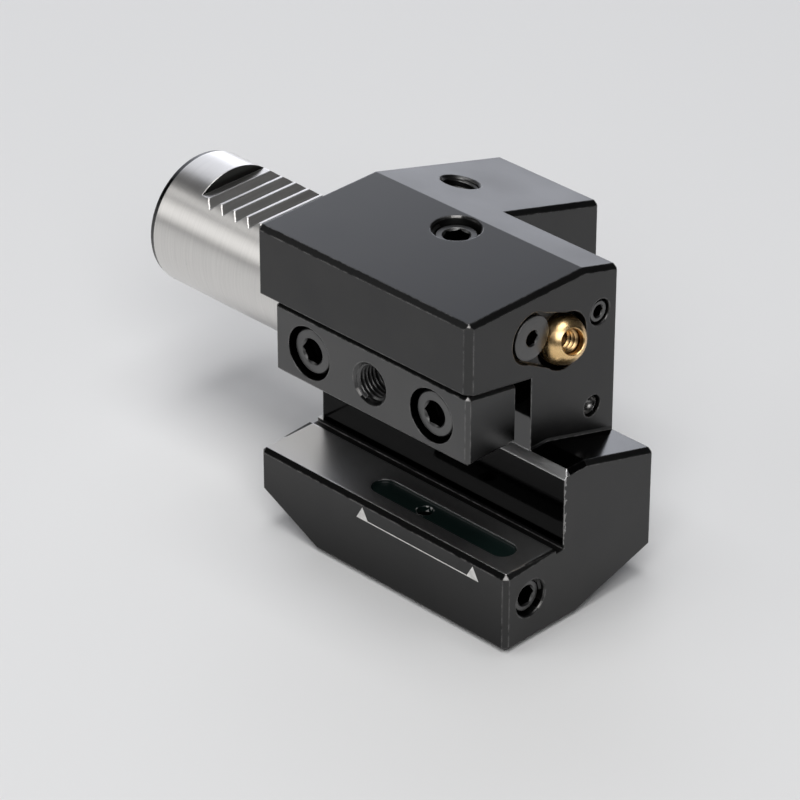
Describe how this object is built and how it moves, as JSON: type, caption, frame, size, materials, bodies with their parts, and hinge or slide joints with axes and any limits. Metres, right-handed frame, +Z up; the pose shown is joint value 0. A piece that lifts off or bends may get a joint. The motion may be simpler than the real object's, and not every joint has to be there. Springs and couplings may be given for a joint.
{
  "type": "vdi tool holder",
  "caption": "Axial turning-tool holder with a toothed cylindrical shank, a stepped black body, a tool slot closed by a screwed clamping wedge, and a swivelling brass coolant ball.",
  "frame": {"origin": "On the shank's axis, in the plane of the flange face that seats on the turret", "axes": "-X runs along the shank away from the body, -Y is the open side of the tool slot, +Z is up with the wedge above the tool seat"},
  "size_m": [0.125, 0.0704, 0.07],
  "materials": {
    "black_oxide_steel": "satin black oxide over milled faces; the shank is ground bright",
    "black_screw_steel": "black screws with fine turning marks",
    "turned_brass": "bright turned brass",
    "black_rubber": "matt black sealing rubber"
  },
  "bodies": {
    "holder": {"holder_body": "black_oxide_steel", "nozzle_clamp_screw": "black_screw_steel", "nozzle_seal_ring": "black_rubber", "shank_seal_ring": "black_rubber", "valve_screw": "black_screw_steel", "riser_plug": "black_screw_steel", "upper_plug": "black_screw_steel", "base_plug": "black_screw_steel", "shank_bore_ball": "black_screw_steel"},
    "wedge": {"clamping_wedge": "black_oxide_steel"},
    "rear_screw": {"wedge_screw_rear": "black_screw_steel"},
    "front_screw": {"wedge_screw_front": "black_screw_steel"},
    "nozzle": {"nozzle_ball": "turned_brass"}
  },
  "joints": [
    {"name": "wedge_slide", "type": "slide", "parent": "holder", "child": "wedge", "axis": [0, 0.9848, -0.1736], "range_m": [-0.0015, 0.0023]},
    {"name": "rear_screw_slide", "type": "slide", "parent": "holder", "child": "rear_screw", "axis": [0, 1, 0], "range_m": [-0.0015, 0.0023]},
    {"name": "front_screw_slide", "type": "slide", "parent": "holder", "child": "front_screw", "axis": [0, 1, 0], "range_m": [-0.0015, 0.0023]},
    {"name": "nozzle_swivel", "type": "hinge", "parent": "holder", "child": "nozzle", "pos_m": [0.058, -0.0077, 0.0181], "axis": [0, 0, 1], "range_deg": [-15, 15]}
  ],
  "couplings": [
    {"joint": "rear_screw_slide", "follows": "wedge_slide", "ratio": 0.98481},
    {"joint": "front_screw_slide", "follows": "wedge_slide", "ratio": 0.98481}
  ]
}
